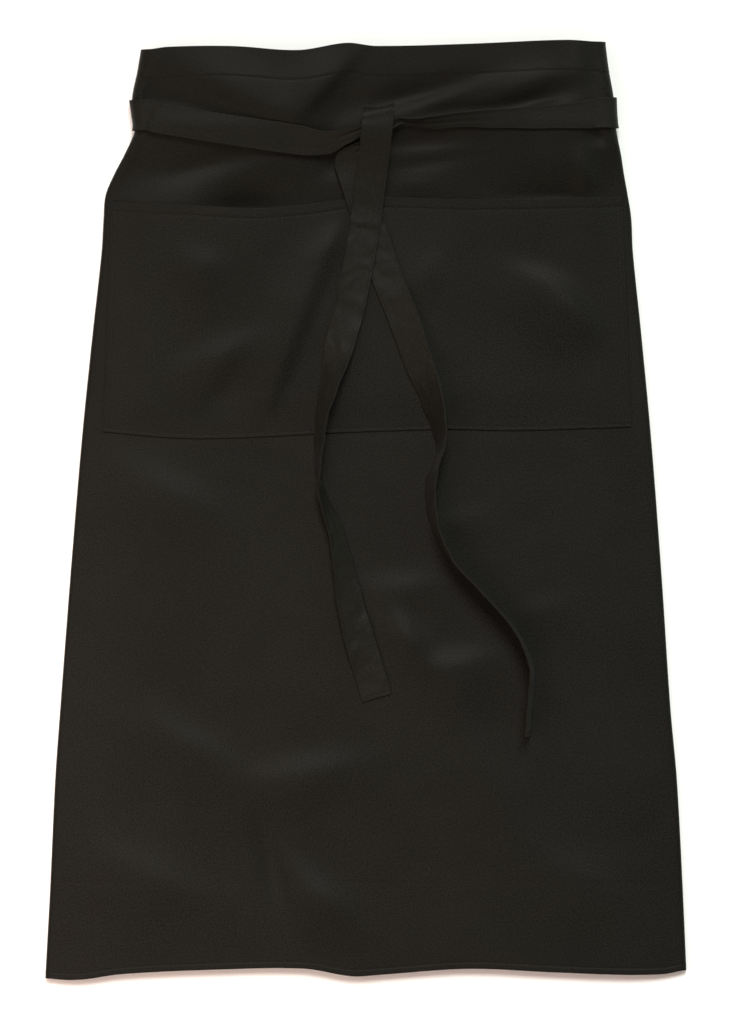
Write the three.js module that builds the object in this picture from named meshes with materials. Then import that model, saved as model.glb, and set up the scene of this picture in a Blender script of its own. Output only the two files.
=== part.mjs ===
// A long waist apron of black twill, lying face up with its ties brought round and knotted in front.
// Millimetres: X runs across the apron, Y from its hem up to its waist, Z up from where it lies.

import * as THREE from "three";

// Cloth and the gaps between its layers
const CLOTH_WALL = 1.0; // one layer of twill
const HEM_WALL = 1.6; // the turned layers of a stitched hem
const TIE_WALL = 1.4; // the doubled cloth of a tie
const GAP = 0.4; // between pieces that lie on each other

// The panel: a rectangle whose two sides are folded round to the back
const CUT_WIDTH = 800; // the whole rectangle, flaps included
const TOP_HEM = 28.5;
const BOTTOM_HEM = 6;
const WAIST_EDGE = { left: 445.3, right: 452.7 }; // Y of the top corners
const HEM_EDGE = { left: -453.8, right: -446.2 }; // Y of the bottom corners
const FLAP_TOP_DROP = 0.03; // fall of a flap's top edge for each millimetre inwards
const FLAP_HEM_RISE = 0.06; // rise of a flap's hem for each millimetre inwards
const SHOULDER = { width: 80, drop: 3.5 }; // where the front sinks towards a side fold
const FADE = { from: 4, to: 16 }; // where the front's own folds begin, in from a side fold
const GENTLE = 2; // how much wider a fold's lower side is than its upper, where its row doesn't say

// The ties, which lie under the flaps at the back and lift them
const TIE_WIDTH = 29.5;
const BUNCH_AREA = 34; // cross-section of a tie that is gathered narrow
const BUNCH_WALL = 3.6; // and the thickest that it gets
const TIE_LIE = 1.5; // middle of a tie above the cloth that it lies on
const TIE_PRESS = 15; // how far a tie flattens the folds to each side of it
const TIE_STEP = 11; // spacing of a tie's sections
const WRAP_RUN = 6; // straight run of a tie before and after a side fold
const WRAP_GAP = 1.3; // from a side fold to the tie round it
const WRAP_ANGLES = [-90, -68, -36, 0, 36, 68, 90]; // of its sections round the fold, from below
const FLAT_TIE = { width: TIE_WIDTH, tip: 0, skew: 0, follows: 0 }; // a section, where its row doesn't say
const BACK_LOW = TIE_WALL / 2; // middle of a tie that lies on the surface under the apron
const BACK_OVER = 2.7; // and of one where it crosses over the other tie
const FLAP_LIFT = { from: 318, to: 356, height: TIE_WALL + GAP };

// The pocket
const POCKET_SPAN = { foot: 76, mouth: 300 }; // Y of its edges, before their waves
const POCKET_SIDE = { leftTop: -247, leftBottom: -255, rightTop: 248, rightBottom: 257 };
const POCKET_PILLOW = 0.6; // how far its middle stands off the panel
const POCKET_EDGE = 7; // the sewn edge itself
const POCKET_SEAM = 40; // from a sewn edge to the full pillow
const POCKET_RAMP = { from: -27, to: -9 }; // where a tie climbs on to it, outside its edge
const POCKET_CALM = { from: -12, to: 0 }; // where the front's folds die out, outside its edge
const POCKET_SINK = { from: 0, to: 35 }; // where the front's valleys die out, below its mouth

// Shares of the panel's height between which the pocket covers it
const UNDER_POCKET = { from: 0.58, to: 0.83 };

// Small steps, in a surface's own measure, that find which way it runs
const NUDGE = 0.02;
const HEADING_NUDGE = 0.05;
const STEEP = 0.3; // level share of a tie's heading below which it runs straight up or down

const BLACK_TWILL = { color: 0x24221f, roughness: 0.92, metalness: 0 };

// The front's outline: where the two side folds lie, from the hem up to the waist.
const SIDES = [
  { y: -450, left: -310.2, right: 310.2 },
  { y: -362, left: -305.4, right: 306.3 },
  { y: -262, left: -300.8, right: 300.9 },
  { y: -192, left: -295.8, right: 294.6 },
  { y: -66, left: -286.2, right: 286.2 },
  { y: 68, left: -275, right: 276 },
  { y: 170, left: -264.6, right: 266.4 },
  { y: 250, left: -255.8, right: 258.2 },
  { y: 283, left: -253.8, right: 256.6 },
  { y: 305, left: -252, right: 253.2 },
  { y: 325, left: -243.6, right: 249.6 },
  { y: 344, left: -233.6, right: 246.6 },
  { y: 368, left: -223.2, right: 241.8 },
  { y: 384, left: -224.4, right: 240.2 },
  { y: 399, left: -226, right: 239.4 },
  { y: 425, left: -220.8, right: 234.8 },
  { y: 449, left: -217, right: 231.6 },
];

// How high the front's cloth lies: it climbs above the pocket, over the ties that cross below the waist.
const LEVEL = [
  { y: -450, height: 12 },
  { y: 288, height: 12 },
  { y: 302, height: 12.2 },
  { y: 315, height: 13.2 },
  { y: 330, height: 15 },
  { y: 346, height: 17.6 },
  { y: 360, height: 20.8 },
  { y: 372, height: 23.2 },
  { y: 386, height: 23.6 },
  { y: 399, height: 23.8 },
  { y: 420, height: 24.9 },
  { y: 452, height: 26 },
];

// How far the hem and the waist edge stand above the straight line between their corners.
const HEM_WAVE = [
  { x: -311, rise: 0 },
  { x: -294, rise: -1.6 },
  { x: -275, rise: -1 },
  { x: -240, rise: 3.6 },
  { x: -150, rise: 6.8 },
  { x: -62, rise: 6.8 },
  { x: -14, rise: -1.2 },
  { x: 15, rise: 0 },
  { x: 100, rise: 4.6 },
  { x: 183, rise: 0.2 },
  { x: 250, rise: -3 },
  { x: 292, rise: -3 },
  { x: 310, rise: 0 },
];
const WAIST_WAVE = [
  { x: -217, rise: 0 },
  { x: -200, rise: 1.8 },
  { x: -134, rise: 1.2 },
  { x: -68, rise: -3.6 },
  { x: -20, rise: 2.5 },
  { x: 10, rise: -0.9 },
  { x: 100, rise: -0.4 },
  { x: 200, rise: 1.9 },
  { x: 231, rise: 0 },
];

// Where the ties lie across the front, from side to side.
const TIE_LINE = [
  { x: -224, y: 383 },
  { x: -14, y: 356 },
  { x: 14, y: 374 },
  { x: 240, y: 384 },
];

// The pocket's mouth, slack on the left, and its sewn bottom edge.
const POCKET_MOUTH = [
  { x: -248, y: 299.1 },
  { x: -160, y: 294.3 },
  { x: -104, y: 291.7 },
  { x: -50, y: 296.6 },
  { x: -15, y: 301.4 },
  { x: 20, y: 302.7 },
  { x: 110, y: 300.2 },
  { x: 248, y: 303.3 },
];
const POCKET_FOOT = [
  { x: -256, y: 76 },
  { x: -200, y: 70.7 },
  { x: -160, y: 69.1 },
  { x: -104, y: 70.7 },
  { x: -25, y: 74.8 },
  { x: 79, y: 78 },
  { x: 142, y: 76.9 },
  { x: 257, y: 80.3 },
];

// Folds of the front: each is a long soft ridge at x, y, or a valley where its rise is negative. Lean is
// how much wider its lower side is than its upper.
const FRONT_FOLDS = [
  // between the waist edge and the ties
  { x: -122, y: 401, heading: -24, length: 124, width: 64, rise: 6, lean: 0.22 },
  { x: -192, y: 397, heading: -8, length: 66, width: 40, rise: -4, lean: 1 },
  { x: -146, y: 383, heading: -18, length: 110, width: 26, rise: -4, lean: 1 },
  { x: -42, y: 406, heading: 47, length: 76, width: 60, rise: 6, lean: 0.2 },
  { x: -26, y: 380, heading: 50, length: 70, width: 44, rise: -5.5, lean: 1 },
  { x: 52, y: 402, heading: 12, length: 100, width: 24, rise: -6.6, lean: 1.2 },
  { x: 72, y: 398, heading: 18, length: 110, width: 14, rise: 3, lean: 1 },
  { x: 96, y: 387, heading: 8, length: 100, width: 16, rise: -4, lean: 1 },
  { x: 150, y: 408, heading: 16, length: 80, width: 30, rise: 3.6, lean: 0.4 },
  { x: 164, y: 397, heading: 15, length: 66, width: 18, rise: -7, lean: 1 },
  { x: 205, y: 424, heading: -85, length: 56, width: 16, rise: 1.8, lean: 1 },
  { x: 220, y: 424, heading: -84, length: 56, width: 12, rise: -1.6, lean: 1 },
  // between the ties and the pocket
  { x: -182, y: 331, heading: 6, length: 84, width: 40, rise: -5, lean: 1 },
  { x: -140, y: 338, heading: 12, length: 70, width: 18, rise: -4.4, lean: 1 },
  { x: -119, y: 291, heading: 6, length: 60, width: 36, rise: -6.2, lean: 1 },
  { x: -88, y: 293, heading: 4, length: 120, width: 56, rise: -3.6, lean: 1 },
  { x: -24, y: 337, heading: 22, length: 44, width: 24, rise: -5, lean: 1 },
  { x: 58, y: 357, heading: 3, length: 90, width: 17, rise: -4.6, lean: 1 },
  { x: 64, y: 337, heading: 8, length: 70, width: 10, rise: -2, lean: 1 },
  { x: 48, y: 312, heading: 10, length: 54, width: 22, rise: 2 },
  { x: 178, y: 305, heading: 0, length: 84, width: 20, rise: -4, lean: 1 },
  { x: 180, y: 338, heading: 0, length: 84, width: 36, rise: 2.6, lean: 1 },
  { x: 211, y: 326, heading: -80, length: 46, width: 18, rise: 4.2, lean: 1 },
  { x: 225, y: 361, heading: 0, length: 28, width: 12, rise: -4, lean: 1 },
  // down the skirt, below the pocket
  { x: -190, y: 14, heading: -30, length: 112, width: 40, rise: 3.8 },
  { x: 34, y: -76, heading: 3, length: 66, width: 24, rise: 2.6 },
  { x: 96, y: -10, heading: 8, length: 44, width: 20, rise: 1 },
  { x: 174, y: -96, heading: 15, length: 52, width: 22, rise: 1.2 },
  { x: 42, y: -125, heading: -52, length: 64, width: 26, rise: 6.2, lean: 1.4 },
  { x: 89, y: -151, heading: 9, length: 66, width: 28, rise: 4.2, lean: 3 },
  { x: -168, y: -232, heading: -31, length: 108, width: 36, rise: 4.1 },
  { x: -59, y: -257, heading: 10, length: 106, width: 34, rise: 4.1 },
  { x: -208, y: -357, heading: -24, length: 120, width: 40, rise: 3.8 },
  { x: -90, y: -346, heading: -75, length: 100, width: 20, rise: -4.6, lean: 1.4 },
  { x: -44, y: -376, heading: -43, length: 80, width: 30, rise: 4.8 },
  { x: 114, y: -250, heading: -56, length: 160, width: 50, rise: 2.3 },
  { x: 207, y: -357, heading: -30, length: 90, width: 44, rise: 2.3 },
];

// Folds and slack of the pocket, over its pillow.
const POCKET_FOLDS = [
  { x: -112, y: 302, heading: 0, length: 150, width: 130, rise: 9.5 },
  { x: 140, y: 304, heading: 0, length: 180, width: 90, rise: 4.2 },
  { x: 2, y: 300, heading: -75, length: 130, width: 88, rise: -3 },
  { x: -162, y: 236, heading: 0, length: 50, width: 32, rise: 3.2 },
  { x: -142, y: 148, heading: 25, length: 80, width: 28, rise: 4 },
  { x: -33, y: 257, heading: 45, length: 44, width: 22, rise: 2.2 },
  { x: -64, y: 182, heading: 69, length: 190, width: 56, rise: 4.4, lean: 0.25 },
  { x: -136, y: 115, heading: 58, length: 58, width: 24, rise: -2.6 },
  { x: 166, y: 221, heading: -20, length: 60, width: 24, rise: 3.8, lean: 3 },
  { x: 201, y: 193, heading: -49, length: 66, width: 22, rise: 5.6, lean: 4 },
  { x: 55, y: 227, heading: 60, length: 44, width: 24, rise: 2.4 },
];

// The way of each tie. At the back lift is the height above the surface that the apron lies on, and
// in front it is the height above the cloth below. Tip turns a tie up on to its edge, and skew is how
// far one edge lies further up than the middle, where a tie is folded askew.
const TIE_LEFT_BACK = [
  { x: 98, y: 428, lift: BACK_LOW },
  { x: 55, y: 425, lift: BACK_LOW },
  { x: 7, y: 406, lift: BACK_LOW },
  { x: -41, y: 388, lift: BACK_LOW },
  { x: -130, y: 386.5, lift: BACK_LOW },
  { x: -196, y: 384, lift: BACK_LOW },
];
const TIE_RIGHT_BACK = [
  { x: -84, y: 428, lift: BACK_LOW },
  { x: -43, y: 425, lift: BACK_LOW },
  { x: -30, y: 420, lift: BACK_OVER },
  { x: 7, y: 406, lift: BACK_OVER },
  { x: 44, y: 392, lift: BACK_OVER },
  { x: 58, y: 388, lift: BACK_LOW },
  { x: 140, y: 387, lift: BACK_LOW },
  { x: 210, y: 385.5, lift: BACK_LOW },
];
const TIE_LEFT_FRONT = [
  // across to the knot
  { x: -205, y: 379.6, lift: 1.9, width: 29, tip: 5 },
  { x: -171, y: 373.4, lift: 1.9, width: 29, tip: 5 },
  { x: -124, y: 366, lift: 1.9, width: 29, tip: 5 },
  { x: -95, y: 361.7, lift: 2, width: 29, tip: 5 },
  { x: -64, y: 357.2, lift: 2.5, width: 28, tip: 4 },
  // through the loop of the other tie and back under it
  { x: -38, y: 354.8, lift: 4.8, width: 22 },
  { x: -19, y: 360.5, lift: 6.6, width: 14 },
  { x: -6, y: 366, lift: 7.4, width: 10 },
  { x: 3.5, y: 370, lift: 7.6, width: 9.5 },
  { x: 11, y: 374.2, lift: 7.2, width: 8.6 },
  { x: 18, y: 376.4, lift: 5.4, width: 7.6 },
  { x: 23, y: 374.5, lift: 3.3, width: 8 },
  { x: 23.5, y: 368.5, lift: 2.4, width: 8 },
  { x: 19, y: 359.6, lift: 2.3, width: 8 },
  { x: 9, y: 353.4, lift: 2.2, width: 9 },
  { x: -2, y: 350.6, lift: 2, width: 11 },
  { x: -10, y: 347, lift: 1.7, width: 15 },
  { x: -15.4, y: 341.6, lift: TIE_LIE, width: 25 },
  // down the front, turning on to its edge
  { x: -15.6, y: 335.5, lift: TIE_LIE },
  { x: -9.5, y: 317, lift: 1.7 },
  { x: -2, y: 293.3, lift: 1.9 },
  { x: 20, y: 226.5, lift: 1.7 },
  { x: 36, y: 186, lift: TIE_LIE, tip: -8 },
  { x: 51, y: 142, lift: TIE_LIE, tip: -26 },
  { x: 63, y: 110, lift: TIE_LIE, tip: -44 },
  { x: 71, y: 78, lift: TIE_LIE, tip: -64 },
  { x: 72.5, y: 60, lift: TIE_LIE, tip: -78 },
  { x: 68, y: 44, lift: TIE_LIE, tip: -80 },
  { x: 63, y: 28, lift: TIE_LIE, tip: -73 },
  { x: 63, y: 5, lift: TIE_LIE, tip: -73 },
  { x: 69, y: -22, lift: TIE_LIE, tip: -80 },
  { x: 86, y: -52, lift: TIE_LIE, tip: -89 },
  { x: 117, y: -84, lift: TIE_LIE, tip: -93 },
  { x: 145, y: -117, lift: TIE_LIE, tip: -95 },
  { x: 160, y: -153, lift: TIE_LIE, tip: -98 },
  { x: 159, y: -180, lift: TIE_LIE, tip: -100 },
  { x: 156, y: -219, lift: TIE_LIE, tip: -99 },
];
const TIE_RIGHT_FRONT = [
  // across to the knot, gathering narrow
  { x: 220, y: 383, lift: 2.1, width: 28 },
  { x: 172, y: 379.4, lift: 1.9, width: 22 },
  { x: 128, y: 378.2, lift: 1.9, width: 18.5, tip: 6 },
  { x: 92, y: 377, lift: 1.9, width: 15, tip: 22 },
  { x: 62, y: 374, lift: 2.2, width: 15, tip: 40 },
  { x: 50, y: 374.4, lift: 3, width: 12, tip: 54 },
  { x: 41, y: 375.4, lift: 4.2, width: 8, tip: 56 },
  // over and under the other tie, then up and over the top of it
  { x: 33, y: 375.2, lift: 6.8, width: 7.5, tip: 24 },
  { x: 27, y: 372.6, lift: 8.4, width: 7 },
  { x: 21, y: 367.8, lift: 8.9, width: 7 },
  { x: 15, y: 364.8, lift: 7.4, width: 7 },
  { x: 9.5, y: 363.8, lift: 4.1, width: 7 },
  { x: 5, y: 367, lift: 2.5, width: 8 },
  { x: 4.5, y: 372.5, lift: 2.3, width: 10 },
  { x: 7, y: 377.4, lift: 2.2, width: 13.5 },
  { x: 9.3, y: 382.3, lift: 2.3, width: 19, skew: 3 },
  { x: 10.9, y: 386, lift: 4, width: 27, skew: 4.8 },
  { x: 11.4, y: 387.6, lift: 7, width: 30, skew: 4.8 },
  { x: 11.6, y: 387, lift: 9.8, width: 30.5, skew: 4.8 },
  { x: 11.4, y: 384.2, lift: 10.8, width: 30.5, skew: 4.4 },
  { x: 11.2, y: 378, lift: 10.6, width: 30.5, skew: 2.4 },
  { x: 10.7, y: 370.5, lift: 11.2, width: 30.5 },
  { x: 9.7, y: 360, lift: 11.6, width: 30 },
  // down the front, across the other tail
  { x: 8.4, y: 347, lift: 10.2, width: 30 },
  { x: 5.8, y: 327, lift: 7.8, width: 30 },
  { x: 3, y: 306, lift: 5.6, width: 30 },
  { x: 0.4, y: 285, lift: 3.8, width: 30 },
  { x: -0.9, y: 276, lift: 3.6, width: 30 },
  { x: -5, y: 250, lift: 3.6 },
  { x: -10.6, y: 220, lift: 3.4 },
  { x: -17, y: 191, lift: 2, tip: 4 },
  { x: -24, y: 165, lift: TIE_LIE, tip: 12 },
  { x: -36, y: 118, lift: TIE_LIE, width: 26, tip: 48 },
  { x: -42, y: 94, lift: TIE_LIE, width: 24, tip: 60 },
  { x: -44.5, y: 70, lift: TIE_LIE, width: 22, tip: 64 },
  { x: -46, y: 41, lift: TIE_LIE, width: 20, tip: 76 },
  { x: -42, y: 13, lift: TIE_LIE, width: 15, tip: 120 },
  { x: -30, y: -19, lift: TIE_LIE, width: 17, tip: 146 },
  { x: -21.5, y: -57, lift: TIE_LIE, width: 21.5, tip: 154 },
  { x: -15.5, y: -89, lift: TIE_LIE, width: 26.5, tip: 163 },
  { x: -6, y: -126, lift: TIE_LIE, tip: 172 },
  { x: 4, y: -160, lift: 1.6, tip: 180 },
  { x: 10.6, y: -182, lift: TIE_LIE, tip: 180 },
];

const { clamp, degToRad, lerp, smoothstep } = THREE.MathUtils;

// One column of a table at a place along another, on a smooth curve through its rows.
function read(table, key, place, column) {
  const last = table.length - 1;
  let i = 0;
  while (i < last - 1 && place > table[i + 1][key]) i += 1;
  const slope = (a, b) => (table[b][column] - table[a][column]) / (table[b][key] - table[a][key]);
  const span = table[i + 1][key] - table[i][key];
  const t = clamp((place - table[i][key]) / span, 0, 1);
  const leaving = slope(Math.max(i - 1, 0), i + 1) * span;
  const arriving = slope(i, Math.min(i + 2, last)) * span;
  const rise = table[i + 1][column] - table[i][column];
  const bend = t * (1 - t) * ((leaving - rise) * (1 - t) - (arriving - rise) * t);
  return table[i][column] + rise * t + bend;
}

// Places along a run of stretches, each cut into its own number of steps.
function stops(stretches) {
  const places = [0];
  for (const { to, steps } of stretches) {
    const from = places[places.length - 1];
    for (let i = 1; i <= steps; i += 1) places.push(lerp(from, to, i / steps));
  }
  return places;
}

// Height that a table of folds adds at a place.
function foldHeight(folds, x, y) {
  let height = 0;
  for (const fold of folds) {
    const cos = Math.cos(degToRad(fold.heading));
    const sin = Math.sin(degToRad(fold.heading));
    const lengthwise = ((x - fold.x) * cos + (y - fold.y) * sin) / (fold.length / 2);
    const offset = ((y - fold.y) * cos - (x - fold.x) * sin) / (fold.width / 2);
    const crosswise = offset < 0 ? offset / (fold.lean ?? GENTLE) : offset;
    height += fold.rise * Math.exp(-(lengthwise ** 2) - crosswise ** 2);
  }
  return height;
}

// Middle of a flap's cloth above the surface that it lies on: the ties lift it near the waist.
function backHeight(y) {
  return CLOTH_WALL / 2 + FLAP_LIFT.height * smoothstep(y, FLAP_LIFT.from, FLAP_LIFT.to);
}

// Top of a side fold's middle layer.
function sideTop(y) {
  return read(LEVEL, "y", y, "height") - SHOULDER.drop;
}

function foldRadius(y) {
  return (sideTop(y) - backHeight(y)) / 2;
}

// How far a place on the front lies in from the nearer side fold.
function sideInset(x, y) {
  return Math.min(x - read(SIDES, "y", y, "left"), read(SIDES, "y", y, "right") - x);
}

// How much of the front's folds is left beside a tie: none under it, all of them further off.
function besideTie(x, y) {
  const offTie = y - read(TIE_LINE, "x", x, "y");
  return 1 - Math.exp(-((offTie / TIE_PRESS) ** 4));
}

// The pocket's left and right edge at a share of its height, from its foot up.
function pocketSides(up) {
  return {
    left: lerp(POCKET_SIDE.leftBottom, POCKET_SIDE.leftTop, up),
    right: lerp(POCKET_SIDE.rightBottom, POCKET_SIDE.rightTop, up),
  };
}

// How far a place lies inside the pocket's three sewn edges.
function insideSeams(x, y) {
  const { foot, mouth } = POCKET_SPAN;
  const { left, right } = pocketSides((y - foot) / (mouth - foot));
  return Math.min(x - left, right - x, y - read(POCKET_FOOT, "x", x, "y"));
}

// 1 on the pocket and 0 away from it, with a ramp outside its edges.
function onPocket(x, y, ramp) {
  const belowMouth = read(POCKET_MOUTH, "x", x, "y") - y;
  return smoothstep(Math.min(insideSeams(x, y), belowMouth), ramp.from, ramp.to);
}

// Middle of the front's cloth without its folds: nearly flat, and round at the side folds.
function calmHeight(x, y) {
  const radius = foldRadius(y);
  const inset = sideInset(x, y);
  const rounded = clamp(radius - inset, 0, radius);
  const roll = radius - Math.sqrt(radius ** 2 - rounded ** 2);
  const shoulder = SHOULDER.drop * (1 - smoothstep(inset, 0, SHOULDER.width)) ** 2;
  return read(LEVEL, "y", y, "height") - roll - shoulder;
}

// The front's folds, which fade at the side folds. A ridge ends at the ties and at the pocket, and a
// valley runs on below the ties and below the pocket's mouth.
function frontSoft(x, y) {
  const soft = foldHeight(FRONT_FOLDS, x, y) * smoothstep(sideInset(x, y), FADE.from, FADE.to);
  if (soft > 0) return soft * besideTie(x, y) * (1 - onPocket(x, y, POCKET_CALM));
  const below = smoothstep(read(POCKET_MOUTH, "x", x, "y") - y, POCKET_SINK.from, POCKET_SINK.to);
  const inside = smoothstep(insideSeams(x, y), POCKET_CALM.from, POCKET_CALM.to);
  return soft * (1 - inside * below);
}

// Middle of the front's cloth.
function frontHeight(x, y) {
  return calmHeight(x, y) + frontSoft(x, y);
}

// Space below the pocket, over calm cloth: closed at the sewn edges, open at the mouth.
function pocketSpace(x, y) {
  const stand = POCKET_PILLOW + foldHeight(POCKET_FOLDS, x, y);
  const open = (stand + Math.hypot(stand, 1)) / 2;
  return GAP + open * smoothstep(insideSeams(x, y), 0, POCKET_SEAM);
}

// Middle of the pocket's cloth.
function pocketHeight(x, y) {
  return calmHeight(x, y) + CLOTH_WALL + pocketSpace(x, y);
}

// Top of the cloth that a tie lies on. It bridges the front's valleys.
function clothTop(x, y) {
  const front = calmHeight(x, y) + Math.max(frontSoft(x, y), 0);
  return lerp(front, pocketHeight(x, y), onPocket(x, y, POCKET_RAMP)) + CLOTH_WALL / 2;
}

// A point of the panel. Across runs 0 to 1 on the left flap, to 2 round its fold, to 3 over the front,
// to 4 round the right fold and to 5 on the right flap. Up runs from 0 at the hem to 1 at the waist.
function panelPoint(across, up) {
  const front = clamp(across - 2, 0, 1);
  const side = front < 0.5 ? "left" : "right";
  const inwards = side === "left" ? 1 : -1;
  const guess = lerp(SIDES[0].y, SIDES[SIDES.length - 1].y, up);
  const span = { left: read(SIDES, "y", guess, "left"), right: read(SIDES, "y", guess, "right") };
  const waveX = lerp(span.left, span.right, front);
  const bottom = lerp(HEM_EDGE.left, HEM_EDGE.right, front) + read(HEM_WAVE, "x", waveX, "rise");
  const top = lerp(WAIST_EDGE.left, WAIST_EDGE.right, front) + read(WAIST_WAVE, "x", waveX, "rise");
  const y = lerp(bottom, top, up);
  const radius = foldRadius(y);
  const left = read(SIDES, "y", y, "left") + radius;
  const right = read(SIDES, "y", y, "right") - radius;
  if (across >= 2 && across <= 3) {
    const x = lerp(left, right, front);
    return new THREE.Vector3(x, y, frontHeight(x, y));
  }
  const hinge = side === "left" ? left : right;
  const turn = side === "left" ? across - 1 : 4 - across;
  if (turn >= 0) {
    const angle = Math.PI * (turn - 0.5);
    const x = hinge - inwards * radius * Math.cos(angle);
    return new THREE.Vector3(x, y, backHeight(y) + radius * (1 + Math.sin(angle)));
  }
  const reach = (CUT_WIDTH - (right - left) - 2 * Math.PI * radius) / 2;
  const distance = -turn * reach;
  const slant = lerp(FLAP_HEM_RISE, -FLAP_TOP_DROP, up);
  const flapY = y + slant * distance;
  return new THREE.Vector3(hinge + inwards * distance, flapY, backHeight(flapY));
}

// A point of the pocket, from its lower left corner.
function pocketPoint(across, up) {
  const { left, right } = pocketSides(up);
  const x = lerp(left, right, across);
  const y = lerp(read(POCKET_FOOT, "x", x, "y"), read(POCKET_MOUTH, "x", x, "y"), up);
  return new THREE.Vector3(x, y, pocketHeight(x, y));
}

// Sections that take a tie round a side fold, from the back up on to the front.
function tieWrap(side, y) {
  const inwards = side === "left" ? 1 : -1;
  const radius = foldRadius(y);
  const middle = { x: read(SIDES, "y", y, side) + inwards * radius, z: sideTop(y) - radius };
  const reach = radius + CLOTH_WALL / 2 + WRAP_GAP + TIE_WALL / 2;
  const section = (x, z, follows) => ({ ...FLAT_TIE, x, y, z, follows });
  const round = WRAP_ANGLES.map((angle) => {
    const outwards = Math.cos(degToRad(angle));
    const z = Math.max(middle.z + reach * Math.sin(degToRad(angle)), BACK_LOW);
    return section(middle.x - inwards * reach * outwards, z, outwards);
  });
  const runIn = section(middle.x + inwards * WRAP_RUN, BACK_LOW, 0);
  const runOut = section(middle.x + inwards * WRAP_RUN, middle.z + reach, 0);
  return [runIn, ...round, runOut];
}

// All sections of a tie, with their real heights. A tie on its edge stands on its lower edge.
function tieSections(back, side, front) {
  const wrapY = (back[back.length - 1].y + front[0].y) / 2;
  return [
    ...back.map((row) => ({ ...FLAT_TIE, ...row, z: row.lift })),
    ...tieWrap(side, wrapY),
    ...front.map((row) => {
      const { x, y, lift, width, tip, skew } = { ...FLAT_TIE, ...row };
      const stands = (width / 2) * Math.sin(degToRad(Math.abs(tip)));
      return { x, y, z: clothTop(x, y) + lift + stands, width, tip, skew, follows: 0, drapes: true };
    }),
  ];
}

// A tie as a surface: along counts its sections, across runs from -1 to 1 over its width.
function tieSurface(sections, wrapSide) {
  const last = sections.length - 1;
  const middle = new THREE.CatmullRomCurve3(sections.map((s) => new THREE.Vector3(s.x, s.y, s.z)));
  const flatAcross = [];
  for (let i = 0; i <= last; i += 1) {
    const heading = middle.getPoint(Math.min(i + HEADING_NUDGE, last) / last);
    heading.sub(middle.getPoint(Math.max(i - HEADING_NUDGE, 0) / last)).normalize();
    const across = new THREE.Vector3(-heading.y, heading.x, 0);
    const before = flatAcross[i - 1];
    if (before && across.length() < STEEP) across.copy(before);
    if (before && across.dot(before) < 0) across.negate();
    flatAcross.push(across.normalize());
  }
  const between = (along, column) => {
    const i = Math.min(Math.floor(along), last - 1);
    return lerp(sections[i][column], sections[i + 1][column], smoothstep(along - i, 0, 1));
  };
  const point = (along, across) => {
    const i = Math.min(Math.floor(along), last - 1);
    const tip = degToRad(between(along, "tip"));
    const place = middle.getPoint(along / last);
    const flat = flatAcross[i].clone().lerp(flatAcross[i + 1], along - i).normalize();
    const half = (across * between(along, "width")) / 2;
    const x = place.x + flat.x * half * Math.cos(tip);
    const y = place.y + flat.y * half * Math.cos(tip) + between(along, "skew") * across;
    const drape = sections[i].drapes ? Math.cos(tip) ** 2 : 0;
    const sag = drape === 0 ? 0 : drape * (clothTop(x, y) - clothTop(place.x, place.y));
    const follows = between(along, "follows");
    const side = follows > 0 ? read(SIDES, "y", y, wrapSide) - read(SIDES, "y", place.y, wrapSide) : 0;
    const height = Math.max(place.z, BACK_LOW) + half * Math.sin(tip) + sag;
    return new THREE.Vector3(x + side * follows, y, height);
  };
  const wall = (along) => {
    const half = clamp(BUNCH_AREA / between(along, "width"), TIE_WALL, BUNCH_WALL) / 2;
    return { outer: half, inner: half };
  };
  return { point, wall };
}

// Steps along a tie, closer together where its sections are.
function tieStops(sections) {
  const stretches = sections.slice(1).map((section, i) => {
    const before = sections[i];
    const length = Math.hypot(section.x - before.x, section.y - before.y, section.z - before.z);
    return { to: i + 1, steps: Math.max(1, Math.round(length / TIE_STEP)) };
  });
  return stops(stretches);
}

// A closed wall of cloth: a flat slab cut into columns and rows, with each corner moved to the surface.
function clothWall(columns, rows, point, wall) {
  const slab = new THREE.BoxGeometry(1, 1, 1, columns.length - 1, rows.length - 1, 1);
  slab.deleteAttribute("uv");
  const corners = slab.getAttribute("position");
  for (let i = 0; i < corners.count; i += 1) {
    const u = columns[Math.round((corners.getX(i) + 0.5) * (columns.length - 1))];
    const v = rows[Math.round((corners.getY(i) + 0.5) * (rows.length - 1))];
    const u0 = Math.max(u - NUDGE, columns[0]);
    const u1 = Math.min(u + NUDGE, columns[columns.length - 1]);
    const v0 = Math.max(v - NUDGE, rows[0]);
    const v1 = Math.min(v + NUDGE, rows[rows.length - 1]);
    const along = point(u1, v).sub(point(u0, v));
    const out = along.cross(point(u, v1).sub(point(u, v0))).normalize();
    const { outer, inner } = wall(u, v);
    const corner = point(u, v).addScaledVector(out, corners.getZ(i) > 0 ? outer : -inner);
    corners.setXYZ(i, corner.x, corner.y, corner.z);
  }
  slab.computeVertexNormals();
  return slab;
}

function clothPiece(name, geometry) {
  const piece = new THREE.Mesh(geometry, new THREE.MeshStandardMaterial(BLACK_TWILL));
  piece.name = name;
  return piece;
}

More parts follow.
